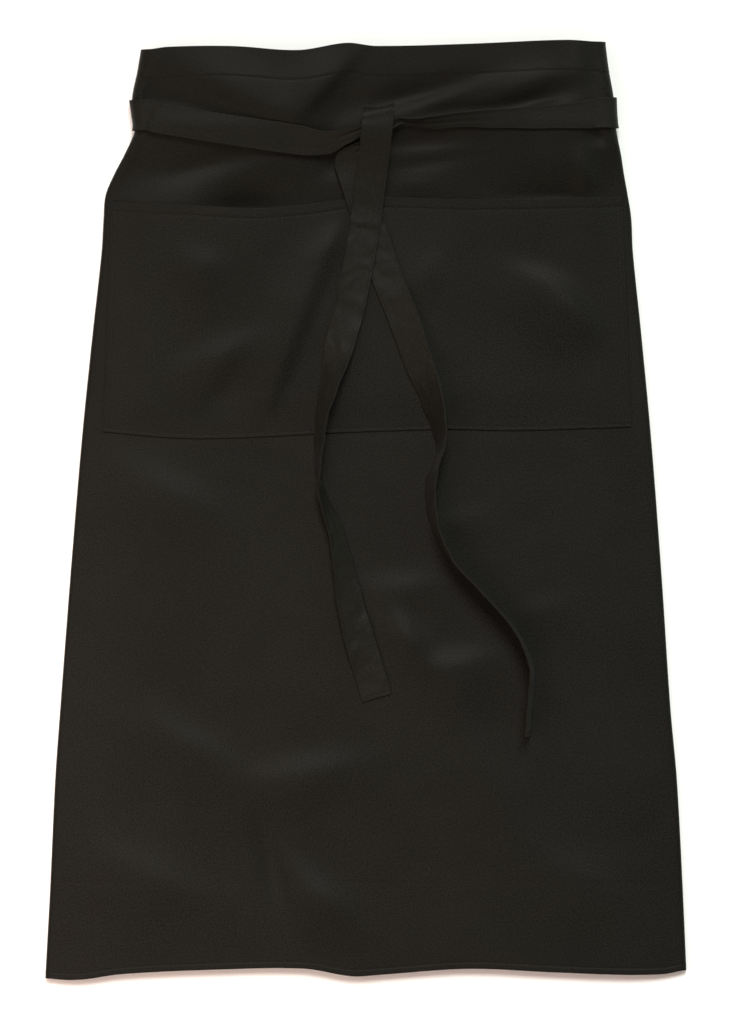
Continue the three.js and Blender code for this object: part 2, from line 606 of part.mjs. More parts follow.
function panel() {
  const length = WAIST_EDGE.left - HEM_EDGE.left;
  const bottomHem = BOTTOM_HEM / length;
  const topHem = 1 - TOP_HEM / length;
  const columns = stops([
    { to: 1, steps: 3 },
    { to: 2, steps: 5 },
    { to: 3, steps: 30 },
    { to: 4, steps: 5 },
    { to: 5, steps: 3 },
  ]);
  const rows = stops([
    { to: bottomHem, steps: 1 },
    { to: UNDER_POCKET.from, steps: 15 },
    { to: UNDER_POCKET.to, steps: 6 },
    { to: topHem, steps: 13 },
    { to: 1, steps: 2 },
  ]);
  const wall = (across, up) => {
    const layers = up < bottomHem || up > topHem ? HEM_WALL : CLOTH_WALL;
    return { outer: CLOTH_WALL / 2, inner: layers - CLOTH_WALL / 2 };
  };
  return clothPiece("apron_panel", clothWall(columns, rows, panelPoint, wall));
}

function pocket() {
  const width = POCKET_SIDE.rightTop - POCKET_SIDE.leftTop;
  const edge = POCKET_EDGE / width;
  const seam = POCKET_SEAM / width;
  const columns = stops([
    { to: edge, steps: 1 },
    { to: seam, steps: 2 },
    { to: 1 - seam, steps: 22 },
    { to: 1 - edge, steps: 2 },
    { to: 1, steps: 1 },
  ]);
  const rows = stops([
    { to: POCKET_SEAM / (POCKET_SPAN.mouth - POCKET_SPAN.foot), steps: 2 },
    { to: 1, steps: 9 },
  ]);
  const wall = () => ({ outer: CLOTH_WALL / 2, inner: CLOTH_WALL / 2 });
  return clothPiece("patch_pocket", clothWall(columns, rows, pocketPoint, wall));
}

function tie(name, back, side, front) {
  const sections = tieSections(back, side, front);
  const surface = tieSurface(sections, side);
  return clothPiece(name, clothWall(tieStops(sections), [-1, 0, 1], surface.point, surface.wall));
}

const apron = new THREE.Group();
apron.add(panel());
apron.add(pocket());
apron.add(tie("tie_left", TIE_LEFT_BACK, "left", TIE_LEFT_FRONT));
apron.add(tie("tie_right", TIE_RIGHT_BACK, "right", TIE_RIGHT_FRONT));

export default apron;
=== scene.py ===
import math
from bisect import bisect
from collections import namedtuple

import bmesh
import bpy
from mathutils import Matrix, Vector, noise


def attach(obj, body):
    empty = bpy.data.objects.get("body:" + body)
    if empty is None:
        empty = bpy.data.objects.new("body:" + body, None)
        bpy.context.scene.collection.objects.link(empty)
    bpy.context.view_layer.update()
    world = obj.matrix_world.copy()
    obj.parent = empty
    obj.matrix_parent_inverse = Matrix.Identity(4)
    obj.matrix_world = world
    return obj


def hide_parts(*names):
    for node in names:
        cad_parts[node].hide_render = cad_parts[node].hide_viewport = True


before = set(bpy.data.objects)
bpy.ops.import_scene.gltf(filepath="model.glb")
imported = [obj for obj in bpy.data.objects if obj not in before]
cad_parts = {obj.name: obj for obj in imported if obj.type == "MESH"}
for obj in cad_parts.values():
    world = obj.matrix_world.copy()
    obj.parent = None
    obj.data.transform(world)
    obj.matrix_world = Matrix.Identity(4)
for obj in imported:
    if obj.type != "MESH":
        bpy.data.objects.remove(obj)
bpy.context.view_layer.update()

# A long waist apron of black twill lies face up, with its ties brought round and half knotted in front.
# Tables and shapes are in millimetres, in the frame's axes: X across the apron, Y from its hem up to
# its waist, Z up from the surface that it lies on. Meshes are made in metres.
MM = 0.001

# Cloth
CLOTH_WALL = 1.0  # one layer of twill
TIE_WALL = 1.4  # the doubled cloth of a tie
GAP = 0.4  # between pieces that lie on each other
HEM_STEP = 0.25  # how far the turned layers of a hem stand up
GROOVE_DEPTH = 0.25  # of a line of stitches
GROOVE_WIDTH = 0.9
RUMPLES = ((60, 0.3), (27, 0.24), (11, 0.07))  # size and height of its faint unevenness
PUCKER = 0.16  # height of the ripples that a line of stitches draws up
PUCKER_PITCH = 8.5
PUCKER_REACH = 5.0
PUCKER_PATCH = (31, 40)  # how long and wide the stretches are over which those ripples change
PUCKER_DRIFT = 4  # how far such a stretch shifts them, in radians
PUCKER_SHARE = 0.5  # of their height that they keep on average

# The panel: a rectangle whose two sides are folded round to the back
CUT_WIDTH = 800
PANEL_LENGTH = 900
TOP_HEM = 28.5
BOTTOM_HEM = 6
FLAP_HEM = 0.05  # from a flap's edge to its stitches, as a share of the flap
WAIST_EDGE = (445.3, 452.7)  # Y of the top corners, left and right
HEM_EDGE = (-453.8, -446.2)  # Y of the bottom corners
FLAP_TOP_DROP = 0.03  # slant of a flap's waist edge, inwards from the side fold
FLAP_HEM_RISE = 0.06  # and of its hem
SHOULDER = 80  # how far in from a side fold the front begins to sink towards it
SHOULDER_DROP = 3.5
FADE = (4, 16)  # how far in from a side fold the front's own folds begin, and are full
FLAP_LIFT = (318, 356, TIE_WALL + GAP)  # where the ties lift a flap, and by how much
CREASE = (-360.6, 1.6, 0.12)  # an old fold line across the skirt: its Y, width and depth
CREASE_REACH = 2.5  # widths to each side of it that have closer rows

# The ties
TIE_WIDTH = 29.5
TIE_LENGTH_SEWN_IN = 20
TIE_LIE = 1.5  # height of a tie's middle above the cloth that it lies on
TIE_PRESS = 15  # how far from a tie's middle it presses the front's ridges flat
TIE_PRESS_POWER = 4  # how suddenly that ends
TIE_STEP = 2  # between the mesh's columns along a tie
TIE_END_STEP = 0.01  # the close step at each end, in sections
TIE_STITCH = 2.6  # from a tie's long edge to its stitches
TIE_STITCH_ENDS = (0.2, 0.1)  # how far from its ends those stitches stop, in sections
TIE_END_HEM = 5.0  # from its end to the stitches across it
TIE_EDGE = 1.9  # wall at its folded long edges, which are thicker
TIE_EDGE_POWER = 6  # how suddenly they thicken
TIE_GATHER = (8, 21)  # widths between which it goes from fully gathered to flat
TIE_CURL = 2.2  # how far the edges curl up where it is gathered
TIE_PLEAT = 0.6  # height of its pleats there
TIE_PLEATS = 2.5  # half waves of them from its middle to an edge
TIE_RIPPLES = ((15, 0.55), (7, 0.4))  # size and height of its ripples
TIE_SMOOTH = (270, 330)  # Y above which it is pulled smooth
TIE_CREASE = (276, 2.2, 0.9)  # a pressed crease across the right tie: its Y, width and height
TIE_CREASE_LEAN = 5  # how much longer it is above its ridge than below
HEADING_STEP = 0.05  # how far before and after a section its heading is taken, in sections
LEAST_LEVEL = 0.3  # share of a heading that has to be level for the tie to turn with it
WRAP_RUN = 6  # straight stretch of a tie before and after a side fold
WRAP_GAP = 1.3  # between a tie and the side fold that it goes round
WRAP_ANGLES = (-90, -68, -36, 0, 36, 68, 90)
BACK_LOW = TIE_WALL / 2  # height of a tie's middle where it lies on the surface, at the back
BACK_OVER = 2.7  # and where it crosses the other tie

# The pocket
POCKET_SPAN = (76, 300)  # Y of its foot and of its mouth, before their waves
POCKET_LEFT = (-255, -247)  # X of its left edge, at foot and mouth
POCKET_RIGHT = (257, 248)
POCKET_PILLOW = 0.6  # how far it stands off the panel between its folds
POCKET_SEAM = 40  # how far in from a sewn edge it stands off in full
POCKET_RAMP = (-27, -9)  # where a tie climbs on to it, outside its edges
POCKET_CALM = (-12, 0)  # where the panel's ridges end, outside its edges
POCKET_SINK = (0, 35)  # how far below the mouth the panel's valleys end
POCKET_RUMPLE = 400  # how far off its rumples are taken, so that they aren't the panel's
MOUTH_HEM = 9.5
FOOT_STITCH = 3.4
FOOT_RELIEF = 0.4  # share of a hem's relief at its foot
MOUTH_RELIEF = 0.65
SIDE_STITCHES = (2.4, 6.4)
MOUTH_STITCH_END = 0.012  # where the mouth's stitches stop, as a share of its width
FOOT_STITCH_END = 0.006
SIDE_STITCH_END = 0.99  # where the side stitches stop, as a share of its height

# Stitches
STITCH_PITCH = 3.4
STITCH_SIZE = (2.7, 0.75, 0.6)  # length, width and height
STITCH_RISE = 0.05  # of its middle above the cloth's face

# Meshes: how far from an edge each row or column near it lies, and the steps between them. Steps across
# the panel and the ties are stretches, each given as where it ends and its number of steps.
PANEL_COLUMNS = (
    (0.004, 1),
    (0.06, 4),
    (1, 10),
    (2, 8),
    (3, 118),
    (4, 8),
    (4.94, 10),
    (4.996, 4),
    (5, 1),
)
HEM_ROWS = (0, 0.6, 2, 3.5, 4.6, 5.3, 6, 6.7, 7.4, 8.5, 10.5, 14)
WAIST_ROWS = (38, 33, 30.5, 29.6, 28.5, 27.4, 26.5, 24, 19, 13, 7, 3, 0.6, 0)
SKIRT_STEPS = (16, 8, 150)  # up to the old fold line, over it and on to the waist
POCKET_EDGE_COLUMNS = (0, 0.6, 1.6, 2.4, 3.2, 4.4, 5.4, 6.4, 7.4, 9, 12)
POCKET_FOOT_ROWS = (0, 0.6, 1.8, 2.7, 3.4, 4.1, 5, 7, 10)
POCKET_MOUTH_ROWS = (16, 12.5, 10.8, 10, 9.5, 9, 8.2, 6, 3, 0.6, 0)
POCKET_STEPS = (100, 44)  # across and up
TIE_ROWS = ((0.72, 6), (0.9, 3), (1, 2))  # from the middle to an edge
HEM_PATH_STEPS = 700  # of the paths that stitches follow
FLAP_PATH_STEPS = 200
POCKET_PATH_STEPS = 300
POCKET_SIDE_PATH_STEPS = 90
TIE_PATH_STEPS = 600
TIE_END_PATH_STEPS = 20

# Looks
BLACK = (0.0065, 0.0062, 0.0049)  # the cloth's mean colour
RIBS = {"Scale": 420.0, "Distortion": 1.4, "Detail": 1.0}  # the twill's diagonal
YARN_DETAIL = 2.0
WEAR = {"Scale": 11.0, "Detail": 3.0}  # broad patches where the dye has worn
WEAR_SHARE = 0.15  # next to the yarn's own unevenness
TONE_SPAN = (0.33, 0.82)  # of that unevenness between the darkest and the palest yarn
BUMP = {"Strength": 0.25, "Distance": 0.0002}
CLOTH_ROUGHNESS = 0.5
CLOTH_GLOSS = 0.07
SHEEN_ROUGHNESS = 0.4
THREAD_TWIST = {"Scale": 700.0, "Detail": 1.0}
THREAD_TONES = ((0.004, 0.0037, 0.003, 1), (0.010, 0.0092, 0.0078, 1))
THREAD_ROUGHNESS = 0.5
THREAD_GLOSS = 0.1

# Studio, in metres and watts. The sun's size is an angle in degrees.
FLOOR_SIZE = 6.0
FLOOR_DROP = 0.3  # below the surface that the apron lies on, in millimetres
FLOOR_TONE = (0.9, 0.9, 0.9, 1)
FLOOR_ROUGHNESS = 0.9
SKY_TONE = (1, 1, 1, 1)
SKY_STRENGTH = 0.24
Light = namedtuple("Light", "name kind place aim power size colour")
LIGHTS = (
    Light("key", "SUN", (0.08, 0.62, 1.0), (0, 0, 0), 3.1, 24, (1.0, 0.99, 0.94)),
    Light("left", "AREA", (-1.2, 1.0, 0.8), (0, 0, 0), 3, 0.9, (1.0, 0.88, 0.8)),
    Light("right", "AREA", (1.5, 0.5, 0.8), (0, 0, 0), 4.5, 0.9, (0.6, 1.0, 0.82)),
    Light("left_edge", "AREA", (-0.7, -0.15, 0.8), (-0.25, -0.15, 0), 5.0, 0.8, (1.0, 0.74, 0.6)),
    Light("low", "AREA", (-0.4, -0.9, 0.9), (-0.15, -0.35, 0), 4.9, 0.8, (1.0, 0.68, 0.56)),
)
PHOTO_HEIGHT = 1023  # pixels
PHOTO_SCALE = 0.968  # millimetres of the front for each pixel
PHOTO_MIDDLE = (-0.5, -1.5)  # where the middle of the frame falls on the front
FRONT_HEIGHT = 12  # of the calm front, which that scale belongs to
CAMERA_HEIGHT = 6000  # above it
SENSOR = 36

# The front's outline, as rows of Y, left and right: where the side folds lie, from hem to waist.
SIDES = (
    (-450, -310.2, 310.2),
    (-362, -305.4, 306.3),
    (-262, -300.8, 300.9),
    (-192, -295.8, 294.6),
    (-66, -286.2, 286.2),
    (68, -275.0, 276.0),
    (170, -264.6, 266.4),
    (250, -255.8, 258.2),
    (283, -253.8, 256.6),
    (305, -252.0, 253.2),
    (325, -243.6, 249.6),
    (344, -233.6, 246.6),
    (368, -223.2, 241.8),
    (384, -224.4, 240.2),
    (399, -226.0, 239.4),
    (425, -220.8, 234.8),
    (449, -217.0, 231.6),
)

# Rows of Y and height: how high the front's cloth lies. It climbs above the pocket, over the ties that
# cross below the waist.
LEVEL = (
    (-450, 12.0),
    (288, 12.0),
    (302, 12.2),
    (315, 13.2),
    (330, 15.0),
    (346, 17.6),
    (360, 20.8),
    (372, 23.2),
    (386, 23.6),
    (399, 23.8),
    (420, 24.9),
    (452, 26.0),
)

# Rows of X and rise: how far the hem and the waist edge stand above the line between their corners.
HEM_WAVE = (
    (-311, 0),
    (-294, -1.6),
    (-275, -1.0),
    (-240, 3.6),
    (-150, 6.8),
    (-62, 6.8),
    (-14, -1.2),
    (15, 0),
    (100, 4.6),
    (183, 0.2),
    (250, -3.0),
    (292, -3.0),
    (310, 0),
)
WAIST_WAVE = (
    (-217, 0),
    (-200, 1.8),
    (-134, 1.2),
    (-68, -3.6),
    (-20, 2.5),
    (10, -0.9),
    (100, -0.4),
    (200, 1.9),
    (231, 0),
)

# Rows of X and Y: where the ties cross the front, the pocket's mouth and its sewn foot.
TIE_LINE = ((-224, 383), (-14, 356), (14, 374), (240, 384))
POCKET_MOUTH = (
    (-248, 299.1),
    (-160, 294.3),
    (-104, 291.7),
    (-50, 296.6),
    (-15, 301.4),
    (20, 302.7),
    (110, 300.2),
    (248, 303.3),
)
POCKET_FOOT = (
    (-256, 76),
    (-200, 70.7),
    (-160, 69.1),
    (-104, 70.7),
    (-25, 74.8),
    (79, 78),
    (142, 76.9),
    (257, 80.3),
)

# Folds, by the middle of each ridge or valley. Lean is how much wider its lower side is than its upper.
Fold = namedtuple("Fold", "x y heading length width rise lean", defaults=(2.0,))

FRONT_FOLDS = (
    # between the waist edge and the ties
    Fold(-122, 401, -24, 124, 64, 6.0, 0.22),
    Fold(-192, 397, -8, 66, 40, -4.0, 1.0),
    Fold(-146, 383, -18, 110, 26, -4.0, 1.0),
    Fold(-42, 406, 47, 76, 60, 6.0, 0.2),
    Fold(-26, 380, 50, 70, 44, -5.5, 1.0),
    Fold(52, 402, 12, 100, 24, -6.6, 1.2),
    Fold(72, 398, 18, 110, 14, 3.0, 1.0),
    Fold(96, 387, 8, 100, 16, -4.0, 1.0),
    Fold(150, 408, 16, 80, 30, 3.6, 0.4),
    Fold(164, 397, 15, 66, 18, -7.0, 1.0),
    Fold(205, 424, -85, 56, 16, 1.8, 1.0),
    Fold(220, 424, -84, 56, 12, -1.6, 1.0),
    # between the ties and the pocket
    Fold(-182, 331, 6, 84, 40, -5.0, 1.0),
    Fold(-140, 338, 12, 70, 18, -4.4, 1.0),
    Fold(-119, 291, 6, 60, 36, -6.2, 1.0),
    Fold(-88, 293, 4, 120, 56, -3.6, 1.0),
    Fold(-24, 337, 22, 44, 24, -5.0, 1.0),
    Fold(58, 357, 3, 90, 17, -4.6, 1.0),
    Fold(64, 337, 8, 70, 10, -2.0, 1.0),
    Fold(48, 312, 10, 54, 22, 2.0),
    Fold(178, 305, 0, 84, 20, -4.0, 1.0),
    Fold(180, 338, 0, 84, 36, 2.6, 1.0),
    Fold(211, 326, -80, 46, 18, 4.2, 1.0),
    Fold(225, 361, 0, 28, 12, -4.0, 1.0),
    # down the skirt, below the pocket
    Fold(-190, 14, -30, 112, 40, 3.8),
    Fold(34, -76, 3, 66, 24, 2.6),
    Fold(96, -10, 8, 44, 20, 1.0),
    Fold(174, -96, 15, 52, 22, 1.2),
    Fold(42, -125, -52, 64, 26, 6.2, 1.4),
    Fold(89, -151, 9, 66, 28, 4.2, 3.0),
    Fold(-168, -232, -31, 108, 36, 4.1),
    Fold(-59, -257, 10, 106, 34, 4.1),
    Fold(-208, -357, -24, 120, 40, 3.8),
    Fold(-90, -346, -75, 100, 20, -4.6, 1.4),
    Fold(-44, -376, -43, 80, 30, 4.8),
    Fold(114, -250, -56, 160, 50, 2.3),
    Fold(207, -357, -30, 90, 44, 2.3),
)

POCKET_FOLDS = (
    Fold(-112, 302, 0, 150, 130, 9.5),
    Fold(140, 304, 0, 180, 90, 4.2),
    Fold(2, 300, -75, 130, 88, -3.0),
    Fold(-162, 236, 0, 50, 32, 3.2),
    Fold(-142, 148, 25, 80, 28, 4),
    Fold(-33, 257, 45, 44, 22, 2.2),
    Fold(-64, 182, 69, 190, 56, 4.4, 0.25),
    Fold(-136, 115, 58, 58, 24, -2.6),
    Fold(166, 221, -20, 60, 24, 3.8, 3.0),
    Fold(201, 193, -49, 66, 22, 5.6, 4.0),
    Fold(55, 227, 60, 44, 24, 2.4),
)

# The way of each tie. At the back lift is the height above the surface that the apron lies on, and in
# front it is the height above the cloth below. Tip turns a tie up on to its edge, and skew is how far
# one edge lies further up than the middle, where a tie is folded askew.
TieRow = namedtuple("TieRow", "x y lift width tip skew", defaults=(TIE_WIDTH, 0, 0))

TIE_LEFT_BACK = (
    TieRow(98, 428, BACK_LOW),
    TieRow(55, 425, BACK_LOW),
    TieRow(7, 406, BACK_LOW),
    TieRow(-41, 388, BACK_LOW),
    TieRow(-130, 386.5, BACK_LOW),
    TieRow(-196, 384, BACK_LOW),
)
TIE_RIGHT_BACK = (
    TieRow(-84, 428, BACK_LOW),
    TieRow(-43, 425, BACK_LOW),
    TieRow(-30, 420, BACK_OVER),
    TieRow(7, 406, BACK_OVER),
    TieRow(44, 392, BACK_OVER),
    TieRow(58, 388, BACK_LOW),
    TieRow(140, 387, BACK_LOW),
    TieRow(210, 385.5, BACK_LOW),
)
TIE_LEFT_FRONT = (
    # across to the knot
    TieRow(-205, 379.6, 1.9, 29, 5),
    TieRow(-171, 373.4, 1.9, 29, 5),
    TieRow(-124, 366.0, 1.9, 29, 5),
    TieRow(-95, 361.7, 2.0, 29, 5),
    TieRow(-64, 357.2, 2.5, 28, 4),
    # through the loop of the other tie and back under it
    TieRow(-38, 354.8, 4.8, 22),
    TieRow(-19, 360.5, 6.6, 14),
    TieRow(-6, 366.0, 7.4, 10),
    TieRow(3.5, 370.0, 7.6, 9.5),
    TieRow(11, 374.2, 7.2, 8.6),
    TieRow(18, 376.4, 5.4, 7.6),
    TieRow(23, 374.5, 3.3, 8),
    TieRow(23.5, 368.5, 2.4, 8),
    TieRow(19, 359.6, 2.3, 8),
    TieRow(9, 353.4, 2.2, 9),
    TieRow(-2, 350.6, 2.0, 11),
    TieRow(-10, 347.0, 1.7, 15),
    TieRow(-15.4, 341.6, TIE_LIE, 25),
    # down the front, turning on to its edge
    TieRow(-15.6, 335.5, TIE_LIE),
    TieRow(-9.5, 317.0, 1.7),
    TieRow(-2, 293.3, 1.9),
    TieRow(20, 226.5, 1.7),
    TieRow(36, 186, TIE_LIE, 29.5, -8),
    TieRow(51, 142, TIE_LIE, 29.5, -26),
    TieRow(63, 110, TIE_LIE, 29.5, -44),
    TieRow(71, 78, TIE_LIE, 29.5, -64),
    TieRow(72.5, 60, TIE_LIE, 29.5, -78),
    TieRow(68, 44, TIE_LIE, 29.5, -80),
    TieRow(63, 28, TIE_LIE, 29.5, -73),
    TieRow(63, 5, TIE_LIE, 29.5, -73),
    TieRow(69, -22, TIE_LIE, 29.5, -80),
    TieRow(86, -52, TIE_LIE, 29.5, -89),
    TieRow(117, -84, TIE_LIE, 29.5, -93),
    TieRow(145, -117, TIE_LIE, 29.5, -95),
    TieRow(160, -153, TIE_LIE, 29.5, -98),
    TieRow(159, -180, TIE_LIE, 29.5, -100),
    TieRow(156, -219, TIE_LIE, 29.5, -99),
)
TIE_RIGHT_FRONT = (
    # across to the knot, gathering narrow
    TieRow(220, 383.0, 2.1, 28),
    TieRow(172, 379.4, 1.9, 22),
    TieRow(128, 378.2, 1.9, 18.5, 6),
    TieRow(92, 377.0, 1.9, 15, 22),
    TieRow(62, 374.0, 2.2, 15, 40),
    TieRow(50, 374.4, 3.0, 12, 54),
    TieRow(41, 375.4, 4.2, 8, 56),
    # over and under the other tie, then up and over the top of it
    TieRow(33, 375.2, 6.8, 7.5, 24),
    TieRow(27, 372.6, 8.4, 7),
    TieRow(21, 367.8, 8.9, 7),
    TieRow(15, 364.8, 7.4, 7),
    TieRow(9.5, 363.8, 4.1, 7),
    TieRow(5, 367.0, 2.5, 8),
    TieRow(4.5, 372.5, 2.3, 10),
    TieRow(7, 377.4, 2.2, 13.5),
    TieRow(9.3, 382.3, 2.3, 19, 0, 3),
    TieRow(10.9, 386.0, 4.0, 27, 0, 4.8),
    TieRow(11.4, 387.6, 7.0, 30, 0, 4.8),
    TieRow(11.6, 387.0, 9.8, 30.5, 0, 4.8),
    TieRow(11.4, 384.2, 10.8, 30.5, 0, 4.4),
    TieRow(11.2, 378.0, 10.6, 30.5, 0, 2.4),
    TieRow(10.7, 370.5, 11.2, 30.5),
    TieRow(9.7, 360.0, 11.6, 30),
    # down the front, across the other tail
    TieRow(8.4, 347, 10.2, 30),
    TieRow(5.8, 327, 7.8, 30),
    TieRow(3.0, 306, 5.6, 30),
    TieRow(0.4, 285, 3.8, 30),
    TieRow(-0.9, 276, 3.6, 30),
    TieRow(-5, 250, 3.6),
    TieRow(-10.6, 220, 3.4),
    TieRow(-17, 191, 2.0, 29.5, 4),
    TieRow(-24, 165, TIE_LIE, 29.5, 12),
    TieRow(-36, 118, TIE_LIE, 26, 48),
    TieRow(-42, 94, TIE_LIE, 24, 60),
    TieRow(-44.5, 70, TIE_LIE, 22, 64),
    TieRow(-46, 41, TIE_LIE, 20, 76),
    TieRow(-42, 13, TIE_LIE, 15, 120),
    TieRow(-30, -19, TIE_LIE, 17, 146),
    TieRow(-21.5, -57, TIE_LIE, 21.5, 154),
    TieRow(-15.5, -89, TIE_LIE, 26.5, 163),
    TieRow(-6, -126, TIE_LIE, 29.5, 172),
    TieRow(4, -160, 1.6, 29.5, 180),
    TieRow(10.6, -182, TIE_LIE, 29.5, 180),
)


def lerp(a, b, t):
    return a + (b - a) * t


def clamp(value, low, high):
    return min(max(value, low), high)


def smoothstep(value, low, high):
    t = clamp((value - low) / (high - low), 0.0, 1.0)
    return t * t * (3 - 2 * t)


def line_through(rows):
    """A smooth line through rows of place and value, level beyond its ends."""
    places = [row[0] for row in rows]
    values = [row[1] for row in rows]
    last = len(rows) - 1

    def slope(a, b):
        return (values[b] - values[a]) / (places[b] - places[a])

    def value_at(place):
        i = clamp(bisect(places, place) - 1, 0, last - 1)
        span = places[i + 1] - places[i]
        t = clamp((place - places[i]) / span, 0.0, 1.0)
        leaving = slope(max(i - 1, 0), i + 1) * span
        arriving = slope(i, min(i + 2, last)) * span
        rise = values[i + 1] - values[i]
        bend = t * (1 - t) * ((leaving - rise) * (1 - t) - (arriving - rise) * t)
        return values[i] + rise * t + bend

    return value_at


left_side = line_through([(y, left) for y, left, right in SIDES])
right_side = line_through([(y, right) for y, left, right in SIDES])
hem_wave = line_through(HEM_WAVE)
waist_wave = line_through(WAIST_WAVE)
tie_line = line_through(TIE_LINE)
front_level = line_through(LEVEL)
pocket_mouth = line_through(POCKET_MOUTH)
pocket_foot = line_through(POCKET_FOOT)


def stops(start, *stretches):
    """Places along a run of stretches, each given as where it ends and its number of steps."""
    places = [start]
    for end, steps in stretches:
        begin = places[-1]
        places += [lerp(begin, end, (i + 1) / steps) for i in range(steps)]
    return places


def fold_height(folds, x, y):
    """Height that a table of folds adds at a place: each is a long soft ridge, or a valley."""
    height = 0.0
    for fold in folds:
        angle = math.radians(fold.heading)
        east, north = x - fold.x, y - fold.y
        lengthwise = (east * math.cos(angle) + north * math.sin(angle)) / (fold.length / 2)
        crosswise = (north * math.cos(angle) - east * math.sin(angle)) / (fold.width / 2)
        if crosswise < 0:
            crosswise /= fold.lean
        height += fold.rise * math.exp(-(lengthwise**2) - crosswise**2)
    return height


def seam_relief(inside, stitch, along):
    """Relief of a stitched edge: turned cloth, a groove under the stitches and ripples beside it."""
    step = HEM_STEP * (1 - smoothstep(inside, stitch - GROOVE_WIDTH, stitch + GROOVE_WIDTH))
    groove = GROOVE_DEPTH * math.exp(-(((inside - stitch) / GROOVE_WIDTH) ** 2))
    patch_length, patch_width = PUCKER_PATCH
    wander = noise.noise(Vector((along / patch_length, inside / patch_width, stitch)))
    ripple = math.sin(2 * math.pi * along / PUCKER_PITCH + PUCKER_DRIFT * wander)
    near = math.exp(-(((inside - stitch) / PUCKER_REACH) ** 2))
    return step - groove + PUCKER * (PUCKER_SHARE + wander) * ripple * near


def rumple(x, y):
    """Faint unevenness of cloth that has been worn and washed."""
    return sum(height * noise.noise(Vector((x / size, y / size, height))) for size, height in RUMPLES)


def back_height(y):
    """Middle of a flap's cloth above the surface that it lies on: the ties lift it near the waist."""
    start, end, height = FLAP_LIFT
    return CLOTH_WALL / 2 + height * smoothstep(y, start, end)


def fold_radius(y):
    return (front_level(y) - SHOULDER_DROP - back_height(y)) / 2


def beside_tie(x, y):
    """How much of the front's folds is left beside a tie: none under it, all of them further off."""
    return 1 - math.exp(-(((y - tie_line(x)) / TIE_PRESS) ** TIE_PRESS_POWER))


def pocket_sides(up):
    return lerp(*POCKET_LEFT, up), lerp(*POCKET_RIGHT, up)


def inside_seams(x, y):
    """How far a place lies inside the pocket's three sewn edges."""
    foot, mouth = POCKET_SPAN
    left, right = pocket_sides((y - foot) / (mouth - foot))
    return min(x - left, right - x, y - pocket_foot(x))


def on_pocket(x, y, ramp):
    """1 on the pocket and 0 away from it, with a ramp outside its edges."""
    return smoothstep(min(inside_seams(x, y), pocket_mouth(x) - y), *ramp)


def calm_height(x, y):
    """Middle of the front's cloth without its folds: nearly flat, and round at the side folds."""
    radius = fold_radius(y)
    inset = min(x - left_side(y), right_side(y) - x)
    rounded = clamp(radius - inset, 0.0, radius)
    roll = radius - math.sqrt(radius**2 - rounded**2)
    shoulder = SHOULDER_DROP * (1 - smoothstep(inset, 0, SHOULDER)) ** 2
    return front_level(y) - roll - shoulder


def front_soft(x, y):
    """The front's folds, which fade at the side folds. A ridge ends at the ties and at the pocket, and
    a valley runs on below the ties and below the pocket's mouth."""
    inset = min(x - left_side(y), right_side(y) - x)
    soft = fold_height(FRONT_FOLDS, x, y) + rumple(x, y)
    soft *= smoothstep(inset, *FADE)
    if soft > 0:
        return soft * beside_tie(x, y) * (1 - on_pocket(x, y, POCKET_CALM))
    below_mouth = smoothstep(pocket_mouth(x) - y, *POCKET_SINK)
    return soft * (1 - smoothstep(inside_seams(x, y), *POCKET_CALM) * below_mouth)


def front_height(x, y):
    """Middle of the front's cloth."""
    middle, width, depth = CREASE
    crease = depth * math.exp(-(((y - middle) / width) ** 2))
    return calm_height(x, y) + front_soft(x, y) - crease


def pocket_space(x, y):
    """Space below the pocket, over calm cloth: closed at the sewn edges, open at the mouth."""
    stand = POCKET_PILLOW + fold_height(POCKET_FOLDS, x, y) + rumple(x + POCKET_RUMPLE, y)
    opened = (stand + math.hypot(stand, 1)) / 2
    return GAP + opened * smoothstep(inside_seams(x, y), 0, POCKET_SEAM)


def pocket_height(x, y):
    """Middle of the pocket's cloth."""
    return calm_height(x, y) + CLOTH_WALL + pocket_space(x, y)


def cloth_top(x, y):
    """Top of the cloth that a tie lies on. It bridges the front's valleys."""
    on = on_pocket(x, y, POCKET_RAMP)
    height = calm_height(x, y) + max(front_soft(x, y), 0.0) if on < 1 else 0.0
    if on > 0:
        height = lerp(height, pocket_height(x, y), on)
    return height + CLOTH_WALL / 2


def panel_point(across, up):
    """A place on the panel. Across runs 0 to 1 on the left flap, to 2 round its fold, to 3 over the
    front, to 4 round the right fold and to 5 on the right flap. Up runs from 0 at the hem to 1."""
    front = clamp(across - 2, 0.0, 1.0)
    on_left = front < 0.5
    inwards = 1 if on_left else -1
    guess = lerp(SIDES[0][0], SIDES[-1][0], up)
    wave_x = lerp(left_side(guess), right_side(guess), front)
    bottom = lerp(*HEM_EDGE, front) + hem_wave(wave_x)
    top = lerp(*WAIST_EDGE, front) + waist_wave(wave_x)
    y = lerp(bottom, top, up)
    radius = fold_radius(y)
    left = left_side(y) + radius
    right = right_side(y) - radius
    if 2 <= across <= 3:
        x = lerp(left, right, front)
        hems = seam_relief(top - y, TOP_HEM, x) + seam_relief(y - bottom, BOTTOM_HEM, x)
        return Vector((x, y, front_height(x, y) + hems))
    hinge = left if on_left else right
    turn = across - 1 if on_left else 4 - across
    if turn >= 0:
        angle = math.pi * (turn - 0.5)
        x = hinge - inwards * radius * math.cos(angle)
        return Vector((x, y, back_height(y) + radius * (1 + math.sin(angle))))
    reach = (CUT_WIDTH - (right - left) - 2 * math.pi * radius) / 2
    distance = -turn * reach
    flap_y = y + lerp(FLAP_HEM_RISE, -FLAP_TOP_DROP, up) * distance
    return Vector((hinge + inwards * distance, flap_y, back_height(flap_y)))


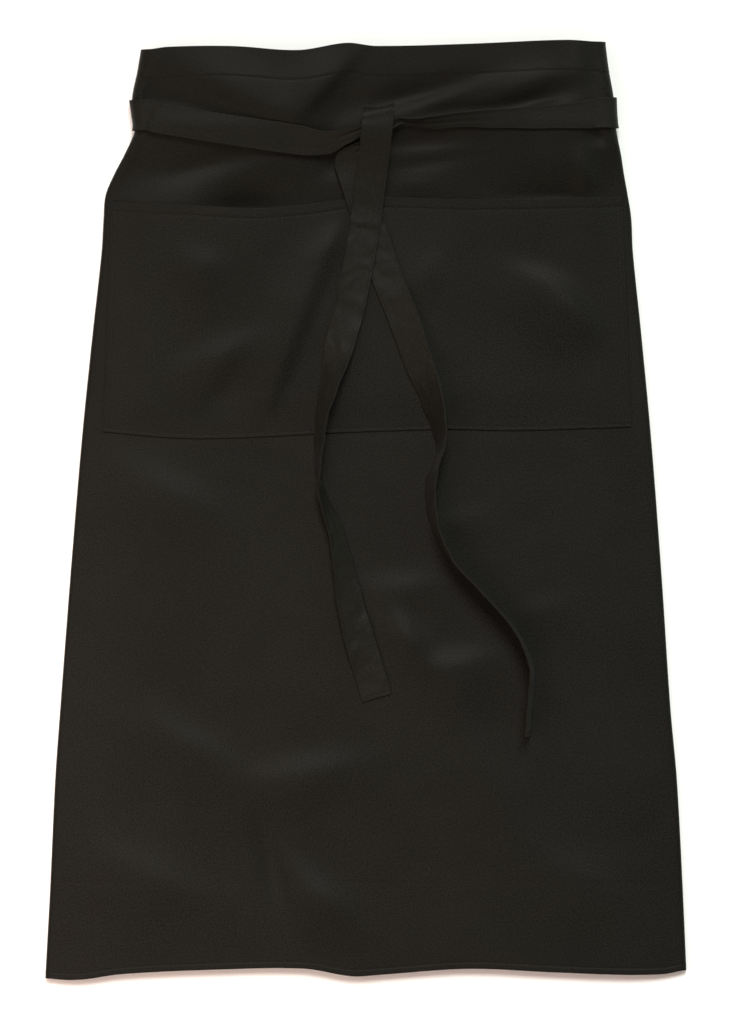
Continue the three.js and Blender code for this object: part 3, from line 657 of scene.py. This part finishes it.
def pocket_point(across, up):
    """A place on the pocket, from its lower left corner."""
    left, right = pocket_sides(up)
    x = lerp(left, right, across)
    foot, mouth = pocket_foot(x), pocket_mouth(x)
    y = lerp(foot, mouth, up)
    relief = MOUTH_RELIEF * seam_relief(mouth - y, MOUTH_HEM, x)
    relief += FOOT_RELIEF * seam_relief(y - foot, FOOT_STITCH, x)
    for stitch in SIDE_STITCHES:
        relief += seam_relief(min(x - left, right - x), stitch, y) / len(SIDE_STITCHES)
    return Vector((x, y, pocket_height(x, y) + relief))


# A place on a tie's way. Follows is how far its edges follow the slant of the side fold that it goes
# round, and drapes tells whether it lies on the cloth.
Section = namedtuple("Section", "x y z width tip skew follows drapes", defaults=(0, 0, 0, False))


def tie_wrap(on_left, y):
    """Sections that take a tie round a side fold, from the back up on to the front."""
    inwards = 1 if on_left else -1
    side = left_side if on_left else right_side
    radius = fold_radius(y)
    middle_x = side(y) + inwards * radius
    middle_z = front_level(y) - SHOULDER_DROP - radius
    reach = radius + CLOTH_WALL / 2 + WRAP_GAP + TIE_WALL / 2
    run_x = middle_x + inwards * WRAP_RUN
    sections = [Section(run_x, y, BACK_LOW, TIE_WIDTH)]
    for angle in map(math.radians, WRAP_ANGLES):
        x = middle_x - inwards * reach * math.cos(angle)
        z = max(middle_z + reach * math.sin(angle), BACK_LOW)
        sections.append(Section(x, y, z, TIE_WIDTH, follows=math.cos(angle)))
    sections.append(Section(run_x, y, middle_z + reach, TIE_WIDTH))
    return sections


def tie_sections(back, on_left, front):
    """All sections of a tie, with their real heights. A tie on its edge stands on its lower edge."""
    wrap_y = (back[-1].y + front[0].y) / 2
    sections = [Section(row.x, row.y, row.lift, row.width) for row in back]
    sections += tie_wrap(on_left, wrap_y)
    for row in front:
        stands = (row.width / 2) * math.sin(math.radians(abs(row.tip)))
        z = cloth_top(row.x, row.y) + row.lift + stands
        sections.append(Section(row.x, row.y, z, row.width, row.tip, row.skew, drapes=True))
    return sections


def route_point(points, along):
    """A place on a centripetal curve through points, with along counting the points."""
    last = len(points) - 1
    i = min(int(along), last - 1)
    t = along - i
    start, end = points[i], points[i + 1]
    before = points[i - 1] if i > 0 else 2 * start - end
    after = points[i + 2] if i + 2 <= last else 2 * end - start
    step_in = (start - before).length ** 0.5
    step = (end - start).length ** 0.5
    step_out = (after - end).length ** 0.5
    leaving = (start - before) / step_in - (end - before) / (step_in + step) + (end - start) / step
    arriving = (end - start) / step - (after - start) / (step + step_out) + (after - end) / step_out
    rise = end - start
    bend = t * (1 - t) * ((leaving * step - rise) * (1 - t) - (arriving * step - rise) * t)
    return start + rise * t + bend


class Tie:
    """A tie as a surface: along counts its sections, across runs from -1 to 1 over its width."""

    def __init__(self, back, on_left, front):
        self.sections = tie_sections(back, on_left, front)
        self.side = left_side if on_left else right_side
        self.route = [Vector((s.x, s.y, s.z)) for s in self.sections]
        self.last = len(self.sections) - 1
        self.flat_across = []
        for i in range(self.last + 1):
            ahead = route_point(self.route, min(i + HEADING_STEP, self.last))
            heading = (ahead - route_point(self.route, max(i - HEADING_STEP, 0))).normalized()
            across = Vector((-heading.y, heading.x, 0))
            if self.flat_across:
                before = self.flat_across[-1]
                if across.length < LEAST_LEVEL:
                    across = before.copy()
                if across.dot(before) < 0:
                    across.negate()
            self.flat_across.append(across.normalized())

    def between(self, along, column):
        """A column's value between two sections."""
        i = min(int(along), self.last - 1)
        start, end = (getattr(self.sections[j], column) for j in (i, i + 1))
        return lerp(start, end, smoothstep(along - i, 0, 1))

    def point(self, along, across):
        """A place on the tie: turned by its tip, draped, curled where gathered, creased and rippled."""
        i = min(int(along), self.last - 1)
        tip = math.radians(self.between(along, "tip"))
        place = route_point(self.route, along)
        flat = self.flat_across[i].lerp(self.flat_across[i + 1], along - i).normalized()
        half = across * self.between(along, "width") / 2
        x = place.x + flat.x * half * math.cos(tip)
        y = place.y + flat.y * half * math.cos(tip) + self.between(along, "skew") * across
        sag = 0.0
        if self.sections[i].drapes:
            sag = math.cos(tip) ** 2 * (cloth_top(x, y) - cloth_top(place.x, place.y))
        follows = self.between(along, "follows")
        if follows > 0:
            x += follows * (self.side(y) - self.side(place.y))
        gathered = 1 - smoothstep(self.between(along, "width"), *TIE_GATHER)
        mean_square = 1 / 3  # of across, so that the curl moves the tie neither up nor down
        curl = TIE_CURL * (across**2 - mean_square)
        curl += TIE_PLEAT * math.sin(TIE_PLEATS * math.pi * across)
        spot = Vector((place.x, place.y + self.last, half))
        ripple = sum(height * noise.noise(spot / size) for size, height in TIE_RIPPLES)
        ripple *= self.sections[i].drapes * (1 - smoothstep(place.y, *TIE_SMOOTH))
        z = max(place.z, BACK_LOW) + half * math.sin(tip) + sag + gathered * curl
        z += self.crease(place.y) if self.sections[i].drapes else 0
        out = Vector((-flat.x * math.sin(tip), -flat.y * math.sin(tip), math.cos(tip)))
        return Vector((x, y, z)) + ripple * out

    def crease(self, y):
        """Rise of the pressed crease: steep on its lower side, and long above it."""
        if self.side is left_side:
            return 0.0
        middle, width, height = TIE_CREASE
        above = (y - middle) / width
        return height * math.exp(-((above / TIE_CREASE_LEAN) ** 2) if above > 0 else -(above**2))

    def stops(self):
        """Even steps along the tie, with a close one at each end to keep its corners crisp."""
        stretches = []
        for i in range(self.last):
            length = (self.route[i + 1] - self.route[i]).length
            stretches.append((i + 1, max(1, round(length / TIE_STEP))))
        places = stops(0, *stretches)
        return [0, TIE_END_STEP, *places[1:-1], self.last - TIE_END_STEP, self.last]

    def length(self):
        """Length of the tie's way."""
        places = [route_point(self.route, along) for along in self.stops()]
        return sum((b - a).length for a, b in zip(places, places[1:]))


def new_piece(name, bm, material):
    """A finished mesh as an object at the origin, riding on the apron's one body."""
    mesh = bpy.data.meshes.new(name)
    bm.to_mesh(mesh)
    bm.free()
    mesh.materials.append(material)
    mesh.shade_smooth()
    piece = bpy.data.objects.new(name, mesh)
    bpy.context.scene.collection.objects.link(piece)
    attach(piece, "root")
    return piece


def lengths_along(places):
    """How far along a line of places each one lies."""
    lengths = [0.0]
    for a, b in zip(places, places[1:]):
        lengths.append(lengths[-1] + (b - a).length)
    return lengths


def cloth_sheet(name, columns, rows, point, wall, material, middle_wall=None):
    """A grid with a corner for each column and row, moved on to the cloth's surface and thickened.
    With a middle wall, rows run from -1 to 1 and the cloth has its full wall only at these edges."""
    bm = bmesh.new()
    across, up = len(columns) - 1, len(rows) - 1
    bmesh.ops.create_grid(bm, x_segments=across, y_segments=up, size=0.5)
    cells = {}
    for corner in bm.verts:
        i = round((corner.co.x + 0.5) * across)
        j = round((corner.co.y + 0.5) * up)
        cells[corner] = (i, j)
        corner.co = point(columns[i], rows[j]) * MM
    grain = bm.loops.layers.uv.new("grain")
    middle_row = {cell[0]: corner.co for corner, cell in cells.items() if cell[1] == up // 2}
    middle_column = {cell[1]: corner.co for corner, cell in cells.items() if cell[0] == across // 2}
    weft = lengths_along([middle_row[i] for i in range(across + 1)])
    warp = lengths_along([middle_column[j] for j in range(up + 1)])
    for face in bm.faces:
        for loop in face.loops:
            i, j = cells[loop.vert]
            loop[grain].uv = (weft[i], warp[j])
    bm.verts.index_update()
    outwards = [(corner.index, abs(rows[cells[corner][1]])) for corner in bm.verts]
    piece = new_piece(name, bm, material)
    thicken = piece.modifiers.new("cloth_wall", "SOLIDIFY")
    thicken.thickness = wall * MM
    thicken.offset = 0.0
    if middle_wall:
        group = piece.vertex_groups.new(name="thickness")
        for index, out in outwards:
            group.add([index], lerp(middle_wall / wall, 1, out**TIE_EDGE_POWER), "REPLACE")
        thicken.vertex_group = group.name
    return piece


def facing(point, u, v, nudge=0.01):
    """Which way a surface faces at a place."""
    along = point(u + nudge, v) - point(u - nudge, v)
    return along.cross(point(u, v + nudge) - point(u, v - nudge)).normalized()


def stitch_line(bm, point, path, wall, side=1):
    """Stitches of even length along a path of places on a surface, on one face of its wall."""
    places = [point(u, v) for u, v in path]
    lengths = lengths_along(places)
    count = int(lengths[-1] / STITCH_PITCH)
    for k in range(count):
        distance = (k + 0.5) * STITCH_PITCH
        i = clamp(bisect(lengths, distance) - 1, 0, len(places) - 2)
        share = (distance - lengths[i]) / (lengths[i + 1] - lengths[i])
        u, v = (lerp(path[i][n], path[i + 1][n], share) for n in (0, 1))
        along = (places[i + 1] - places[i]).normalized()
        out = facing(point, u, v) * side
        over = out.cross(along).normalized()
        turn = Matrix((along, over, along.cross(over))).transposed().to_4x4()
        middle = places[i].lerp(places[i + 1], share) + out * (wall / 2 + STITCH_RISE)
        bmesh.ops.create_icosphere(
            bm,
            subdivisions=1,
            radius=0.5 * MM,
            matrix=Matrix.Translation(middle * MM) @ turn @ Matrix.Diagonal((*STITCH_SIZE, 1)),
        )


def run(start, end, steps):
    """A straight path between two places of a surface."""
    return [
        (lerp(start[0], end[0], i / steps), lerp(start[1], end[1], i / steps))
        for i in range(steps + 1)
    ]


def make_node(tree, kind, **values):
    """A shader node with its inputs set by name, from a value or from another node's output."""
    node = tree.nodes.new(kind)
    for key, value in values.items():
        socket = key.replace("_", " ")
        if socket in node.inputs:
            if isinstance(value, bpy.types.NodeSocket):
                tree.links.new(value, node.inputs[socket])
            else:
                node.inputs[socket].default_value = value
        else:
            setattr(node, key, value)
    return node


def black_twill(name, depth, spread, yarn_scale, sheen):
    """Black cotton twill: fine diagonal ribs, uneven yarn and a faint sheen."""
    material = bpy.data.materials.new(name)
    material.use_nodes = True
    tree = material.node_tree
    shader = tree.nodes["Principled BSDF"]
    grain = make_node(tree, "ShaderNodeUVMap", uv_map="grain").outputs["UV"]
    ribs = make_node(
        tree, "ShaderNodeTexWave", bands_direction="DIAGONAL", Vector=grain, **RIBS
    )
    yarn = make_node(
        tree, "ShaderNodeTexNoise", Vector=grain, Scale=yarn_scale, Detail=YARN_DETAIL
    )
    wear = make_node(tree, "ShaderNodeTexNoise", Vector=grain, **WEAR)
    speckle = make_node(tree, "ShaderNodeMath", operation="MULTIPLY_ADD")
    tree.links.new(wear.outputs["Fac"], speckle.inputs[0])
    speckle.inputs[1].default_value = WEAR_SHARE
    tree.links.new(yarn.outputs["Fac"], speckle.inputs[2])
    tone = make_node(tree, "ShaderNodeValToRGB", Fac=speckle.outputs["Value"])
    strengths = (depth * (1 - spread), depth * (1 + spread))
    for stop, position, strength in zip(tone.color_ramp.elements, TONE_SPAN, strengths):
        stop.position = position
        stop.color = (*(strength * part for part in BLACK), 1)
    tree.links.new(tone.outputs["Color"], shader.inputs["Base Color"])
    rib_bump = make_node(tree, "ShaderNodeBump", Height=ribs.outputs["Fac"], **BUMP)
    yarn_bump = make_node(
        tree,
        "ShaderNodeBump",
        Height=yarn.outputs["Fac"],
        Normal=rib_bump.outputs["Normal"],
        **BUMP,
    )
    tree.links.new(yarn_bump.outputs["Normal"], shader.inputs["Normal"])
    shader.inputs["Roughness"].default_value = CLOTH_ROUGHNESS
    shader.inputs["Specular IOR Level"].default_value = CLOTH_GLOSS
    shader.inputs["Sheen Weight"].default_value = sheen
    shader.inputs["Sheen Roughness"].default_value = SHEEN_ROUGHNESS
    return material


def black_thread():
    """Polyester sewing thread, a little shinier than the cloth."""
    material = bpy.data.materials.new("black_thread")
    material.use_nodes = True
    tree = material.node_tree
    shader = tree.nodes["Principled BSDF"]
    place = make_node(tree, "ShaderNodeTexCoord").outputs["Object"]
    twist = make_node(tree, "ShaderNodeTexNoise", Vector=place, **THREAD_TWIST)
    tone = make_node(tree, "ShaderNodeValToRGB", Fac=twist.outputs["Fac"])
    for stop, colour in zip(tone.color_ramp.elements, THREAD_TONES):
        stop.color = colour
    tree.links.new(tone.outputs["Color"], shader.inputs["Base Color"])
    shader.inputs["Roughness"].default_value = THREAD_ROUGHNESS
    shader.inputs["Specular IOR Level"].default_value = THREAD_GLOSS
    return material


def make_panel(cloth, thread):
    """The panel's cloth, and the stitches of its hem, of its waist and of its flaps' edges."""
    hem = [d / PANEL_LENGTH for d in HEM_ROWS]
    waist = [1 - d / PANEL_LENGTH for d in WAIST_ROWS]
    fold_line = (CREASE[0] - HEM_EDGE[0]) / PANEL_LENGTH
    near = CREASE[1] * CREASE_REACH / PANEL_LENGTH
    skirt = zip((fold_line - near, fold_line + near, waist[0]), SKIRT_STEPS)
    rows = hem[:-1] + stops(hem[-1], *skirt) + waist[1:]
    columns = stops(0, *PANEL_COLUMNS)
    piece = cloth_sheet("apron_panel_cloth", columns, rows, panel_point, CLOTH_WALL, cloth)
    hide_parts("apron_panel")
    bm = bmesh.new()
    low, high = BOTTOM_HEM / PANEL_LENGTH, 1 - TOP_HEM / PANEL_LENGTH
    left, right = FLAP_HEM, PANEL_COLUMNS[-1][0] - FLAP_HEM
    for up in (low, high):
        path = run((left, up), (right, up), HEM_PATH_STEPS)
        stitch_line(bm, panel_point, path, CLOTH_WALL)
    for across in (left, right):
        path = run((across, low), (across, high), FLAP_PATH_STEPS)
        stitch_line(bm, panel_point, path, CLOTH_WALL)
    stitches = new_piece("apron_panel_stitches", bm, thread)


def make_pocket(cloth, thread):
    """The pocket's cloth, and the stitches of its mouth, of its two sides and of its foot."""
    width = POCKET_RIGHT[0] - POCKET_LEFT[0]
    height = POCKET_SPAN[1] - POCKET_SPAN[0]
    steps_across, steps_up = POCKET_STEPS
    edge = [d / width for d in POCKET_EDGE_COLUMNS]
    columns = edge[:-1] + stops(edge[-1], (1 - edge[-1], steps_across))
    columns += [1 - share for share in edge[-2::-1]]
    foot = [d / height for d in POCKET_FOOT_ROWS]
    mouth = [1 - d / height for d in POCKET_MOUTH_ROWS]
    rows = foot[:-1] + stops(foot[-1], (mouth[0], steps_up)) + mouth[1:]
    piece = cloth_sheet("patch_pocket_cloth", columns, rows, pocket_point, CLOTH_WALL, cloth)
    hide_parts("patch_pocket")
    bm = bmesh.new()
    low, high = FOOT_STITCH / height, 1 - MOUTH_HEM / height
    path = run((MOUTH_STITCH_END, high), (1 - MOUTH_STITCH_END, high), POCKET_PATH_STEPS)
    stitch_line(bm, pocket_point, path, CLOTH_WALL)
    for inset in SIDE_STITCHES:
        for across in (inset / width, 1 - inset / width):
            path = run((across, low), (across, SIDE_STITCH_END), POCKET_SIDE_PATH_STEPS)
            stitch_line(bm, pocket_point, path, CLOTH_WALL)
    path = run((FOOT_STITCH_END, low), (1 - FOOT_STITCH_END, low), POCKET_PATH_STEPS)
    stitch_line(bm, pocket_point, path, CLOTH_WALL)
    stitches = new_piece("patch_pocket_stitches", bm, thread)


def make_tie(node, back, on_left, front, cloth, thread):
    """A tie's cloth, and the stitches along one edge and across its end, on both faces."""
    tie = Tie(back, on_left, front)
    half = stops(0, *TIE_ROWS)
    rows = [-place for place in half[:0:-1]] + half
    piece = cloth_sheet(
        node + "_cloth", tie.stops(), rows, tie.point, TIE_EDGE, cloth, middle_wall=TIE_WALL
    )
    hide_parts(node)
    bm = bmesh.new()
    edge = 1 - 2 * TIE_STITCH / TIE_WIDTH
    first, last = TIE_STITCH_ENDS[0], tie.last - TIE_STITCH_ENDS[1]
    end_hem = tie.last - TIE_END_HEM / (tie.route[-1] - tie.route[-2]).length
    long_path = run((first, edge), (last, edge), TIE_PATH_STEPS)
    end_path = run((end_hem, -edge), (end_hem, edge), TIE_END_PATH_STEPS)
    for path in (long_path, end_path):
        for side in (1, -1):
            stitch_line(bm, tie.point, path, TIE_WALL, side)
    stitches = new_piece(node + "_stitches", bm, thread)
    (tie.length() + TIE_LENGTH_SEWN_IN) * MM


def make_floor():
    """The plain pale surface below the apron."""
    bm = bmesh.new()
    bmesh.ops.create_grid(bm, x_segments=2, y_segments=2, size=FLOOR_SIZE)
    bmesh.ops.translate(bm, vec=(0, 0, -FLOOR_DROP * MM), verts=bm.verts)
    mesh = bpy.data.meshes.new("floor")
    bm.to_mesh(mesh)
    bm.free()
    material = bpy.data.materials.new("pale_floor")
    material.use_nodes = True
    shader = material.node_tree.nodes["Principled BSDF"]
    shader.inputs["Base Color"].default_value = FLOOR_TONE
    shader.inputs["Roughness"].default_value = FLOOR_ROUGHNESS
    mesh.materials.append(material)
    floor = bpy.data.objects.new("floor", mesh)
    bpy.context.scene.collection.objects.link(floor)


def make_light(light):
    """A lamp that isn't seen itself, turned to its aim."""
    lamp = bpy.data.lights.new(light.name, light.kind)
    if light.kind == "SUN":
        lamp.angle = math.radians(light.size)
    else:
        lamp.size = light.size
    lamp.energy = light.power
    lamp.color = light.colour
    holder = bpy.data.objects.new(light.name, lamp)
    holder.location = light.place
    towards = Vector(light.aim) - Vector(light.place)
    holder.rotation_euler = towards.to_track_quat("-Z", "Y").to_euler()
    holder.visible_camera = False
    bpy.context.scene.collection.objects.link(holder)


def make_studio():
    """An even white sky, with soft lights mostly from the waist's side."""
    scene = bpy.context.scene
    world = bpy.data.worlds.new("studio")
    world.use_nodes = True
    background = world.node_tree.nodes["Background"]
    background.inputs["Color"].default_value = SKY_TONE
    background.inputs["Strength"].default_value = SKY_STRENGTH
    scene.world = world
    for light in LIGHTS:
        make_light(light)
    scene.view_settings.view_transform = "Standard"


def make_camera():
    """A camera straight above the apron, far off, that sees the photo's frame."""
    lens = bpy.data.cameras.new("camera")
    lens.sensor_fit = "VERTICAL"
    lens.sensor_height = SENSOR
    lens.lens = SENSOR * CAMERA_HEIGHT / (PHOTO_HEIGHT * PHOTO_SCALE)
    camera = bpy.data.objects.new("camera", lens)
    camera.location = Vector((*PHOTO_MIDDLE, FRONT_HEIGHT + CAMERA_HEIGHT)) * MM
    bpy.context.scene.collection.objects.link(camera)
    bpy.context.scene.camera = camera


make_camera()
make_studio()
make_floor()
twill = black_twill("black_twill", depth=1.0, spread=0.8, yarn_scale=640.0, sheen=0.045)
# The ties' cloth is a copy of the panel's twill with its colour painted 25% lighter. This is painted
# light, standing in for the light that falls on the ties' tilted faces. Its finer, more even yarn is
# the ties' own.
pressed_twill_painted_light = black_twill(
    "black_twill_pressed_painted_light", depth=1.25, spread=0.5, yarn_scale=900.0, sheen=0.02
)
sewing_thread = black_thread()
make_panel(twill, sewing_thread)
make_pocket(twill, sewing_thread)
make_tie("tie_left", TIE_LEFT_BACK, True, TIE_LEFT_FRONT, pressed_twill_painted_light, sewing_thread)
make_tie("tie_right", TIE_RIGHT_BACK, False, TIE_RIGHT_FRONT, pressed_twill_painted_light, sewing_thread)
